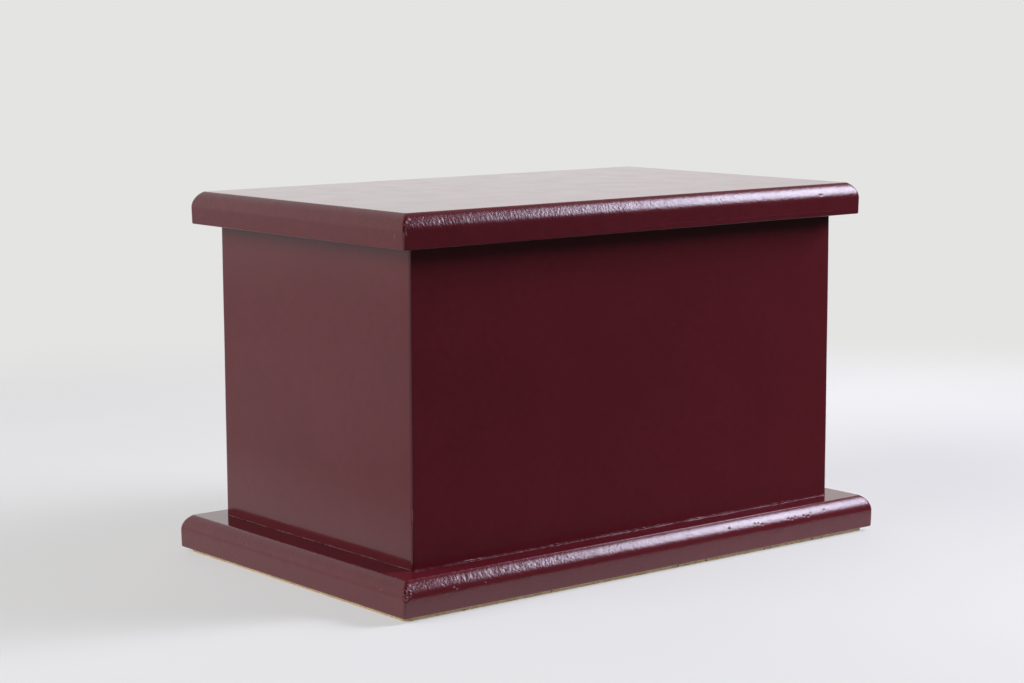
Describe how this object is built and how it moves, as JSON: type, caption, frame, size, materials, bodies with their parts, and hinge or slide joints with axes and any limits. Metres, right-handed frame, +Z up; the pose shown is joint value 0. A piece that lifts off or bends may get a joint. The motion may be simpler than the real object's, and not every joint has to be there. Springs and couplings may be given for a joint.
{
  "type": "memorial urn",
  "caption": "Painted wooden box urn with a lift-off overhanging lid, a wide base with rounded-over edges and an empty inside for ashes.",
  "frame": {"origin": "middle of the underside, on the surface that the urn stands on", "axes": "+X along the long front, to the right as seen from the front; -Y out of the long front face; +Z up"},
  "size_m": [0.282, 0.178, 0.1693],
  "materials": {
    "burgundy_paint": "satin-gloss burgundy paint over fibreboard",
    "cork": "bare cork sheet"
  },
  "bodies": {
    "root": {"lid": "burgundy_paint", "front_wall": "burgundy_paint", "right_wall": "burgundy_paint", "back_wall": "burgundy_paint", "left_wall": "burgundy_paint", "base": "burgundy_paint", "cork_pad": "cork"}
  },
  "joints": []
}
